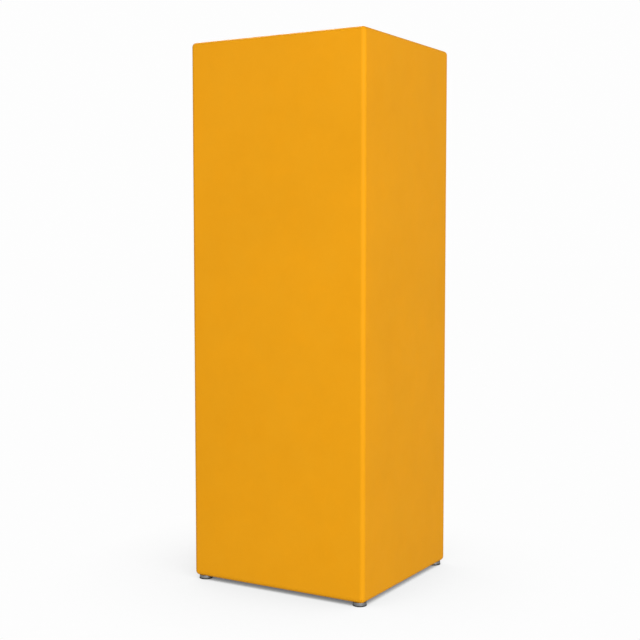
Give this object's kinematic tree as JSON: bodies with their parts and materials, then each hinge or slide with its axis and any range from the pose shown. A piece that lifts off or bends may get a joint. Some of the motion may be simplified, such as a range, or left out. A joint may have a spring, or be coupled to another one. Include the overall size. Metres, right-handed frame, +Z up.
{
  "type": "newspaper vending box",
  "caption": "Tall yellow powder-coated newspaper vending box on levelling feet, with a bottom-hinged window door, a coin head and a coin drawer.",
  "frame": {"origin": "on the floor under the middle of the cabinet", "axes": "+Z up; +X to the right seen from the front; the door and coin head face -Y"},
  "size_m": [0.454, 0.421, 1.25],
  "materials": {
    "powder_coat": "satin",
    "galvanised_steel": "satin",
    "zinc_steel": "satin",
    "stainless_steel": "satin",
    "chrome": "gloss",
    "aluminium": "satin",
    "black_rubber": "matte",
    "clear_sheet": "gloss",
    "card": "matte",
    "black_plastic": "matte",
    "brass": "satin"
  },
  "bodies": {
    "cabinet": {"cabinet_shell": "powder_coat", "recess_liner": "powder_coat", "lower_panel": "powder_coat", "door_stops": "powder_coat", "coin_fascia": "powder_coat", "paper_shelf": "galvanised_steel", "shelf_rails": "galvanised_steel", "head_divider": "galvanised_steel", "base_rails": "galvanised_steel", "drawer_housing": "galvanised_steel", "mechanism_plates": "galvanised_steel", "foot_weld_nuts": "zinc_steel", "panel_screws": "stainless_steel", "cabinet_hinge_leaf": "stainless_steel", "hinge_pin": "stainless_steel", "flap_pin": "stainless_steel", "mechanism_pins": "stainless_steel", "door_springs": "stainless_steel", "button_spring": "stainless_steel", "coin_slot_plate": "stainless_steel", "return_cup": "stainless_steel", "button_barrel": "chrome", "card_frame": "aluminium", "price_frame": "aluminium", "stop_bumpers": "black_rubber", "card_cover": "clear_sheet", "price_lens": "clear_sheet", "display_card": "card", "price_card": "card", "coin_chute": "black_plastic", "return_chute": "black_plastic"},
    "door": {"door_skin": "powder_coat", "door_stiffeners": "galvanised_steel", "window_gasket": "black_rubber", "window_pane": "clear_sheet", "window_retainers": "aluminium", "retainer_screws": "stainless_steel", "door_handle": "chrome", "handle_screws": "stainless_steel", "latch_strike": "galvanised_steel", "door_quadrants": "galvanised_steel", "door_hinge_leaf": "stainless_steel", "display_wire_ears": "galvanised_steel"},
    "display_wire": {"display_wire": "stainless_steel"},
    "return_button": {"return_button": "chrome", "button_clip": "stainless_steel"},
    "return_lever": {"return_lever": "zinc_steel"},
    "return_flap": {"return_flap": "stainless_steel"},
    "coin_drawer": {"drawer_front": "stainless_steel", "drawer_box": "galvanised_steel", "lock_barrel": "chrome"},
    "lock_plug": {"lock_plug": "brass", "lock_cam": "zinc_steel", "cam_nut": "zinc_steel"},
    "latch_pawl": {"latch_pawl": "zinc_steel"},
    "counting_wheel": {"counting_wheel": "brass"},
    "foot_front_left": {"foot_front_left": "zinc_steel"},
    "foot_front_right": {"foot_front_right": "zinc_steel"},
    "foot_rear_left": {"foot_rear_left": "zinc_steel"},
    "foot_rear_right": {"foot_rear_right": "zinc_steel"}
  },
  "joints": [
    {"name": "door_hinge", "type": "hinge", "parent": "cabinet", "child": "door", "pos_m": [0, -0.1705, 0.465], "axis": [1, 0, 0], "range_deg": [0, 75], "stiffness_Nm_per_rad": 11.3, "springref_deg": -28.65, "deforming": ["door_springs"]},
    {"name": "display_wire_hinge", "type": "hinge", "parent": "door", "child": "display_wire", "pos_m": [0, -0.1545, 0.487], "axis": [-1, 0, 0], "range_deg": [0, 35], "stiffness_Nm_per_rad": 0.35, "springref_deg": -20.05},
    {"name": "return_button_slide", "type": "slide", "parent": "cabinet", "child": "return_button", "axis": [0, 1, 0], "range_m": [0, 0.008], "stiffness_N_per_m": 400, "springref_m": -0.006, "deforming": ["button_spring"]},
    {"name": "return_lever_hinge", "type": "hinge", "parent": "cabinet", "child": "return_lever", "pos_m": [0.058, -0.1365, 1.204], "axis": [1, 0, 0], "range_deg": [0, 22.5]},
    {"name": "return_flap_hinge", "type": "hinge", "parent": "cabinet", "child": "return_flap", "pos_m": [0.142, -0.167, 1.092], "axis": [1, 0, 0], "range_deg": [0, 65]},
    {"name": "coin_drawer_slide", "type": "slide", "parent": "cabinet", "child": "coin_drawer", "axis": [0, -1, 0], "range_m": [0, 0.15]},
    {"name": "lock_plug_hinge", "type": "hinge", "parent": "coin_drawer", "child": "lock_plug", "pos_m": [0.04, -0.1625, 1.086], "axis": [0, -1, 0], "range_deg": [0, 90]},
    {"name": "latch_pawl_hinge", "type": "hinge", "parent": "cabinet", "child": "latch_pawl", "pos_m": [-0.06, -0.1605, 1.012], "axis": [-1, 0, 0], "range_deg": [0, 14], "stiffness_Nm_per_rad": 0.03, "springref_deg": -34.38},
    {"name": "counting_wheel_spin", "type": "hinge", "parent": "cabinet", "child": "counting_wheel", "pos_m": [-0.028, -0.0805, 1.15], "axis": [1, 0, 0], "continuous": true},
    {"name": "foot_front_left_screw", "type": "slide", "parent": "cabinet", "child": "foot_front_left", "axis": [0, 0, -1], "range_m": [0, 0.02]},
    {"name": "foot_front_right_screw", "type": "slide", "parent": "cabinet", "child": "foot_front_right", "axis": [0, 0, -1], "range_m": [0, 0.02]},
    {"name": "foot_rear_left_screw", "type": "slide", "parent": "cabinet", "child": "foot_rear_left", "axis": [0, 0, -1], "range_m": [0, 0.02]},
    {"name": "foot_rear_right_screw", "type": "slide", "parent": "cabinet", "child": "foot_rear_right", "axis": [0, 0, -1], "range_m": [0, 0.02]}
  ],
  "couplings": [
    {"joint": "return_lever_hinge", "follows": "return_button_slide", "rad_per_m": 48}
  ]
}
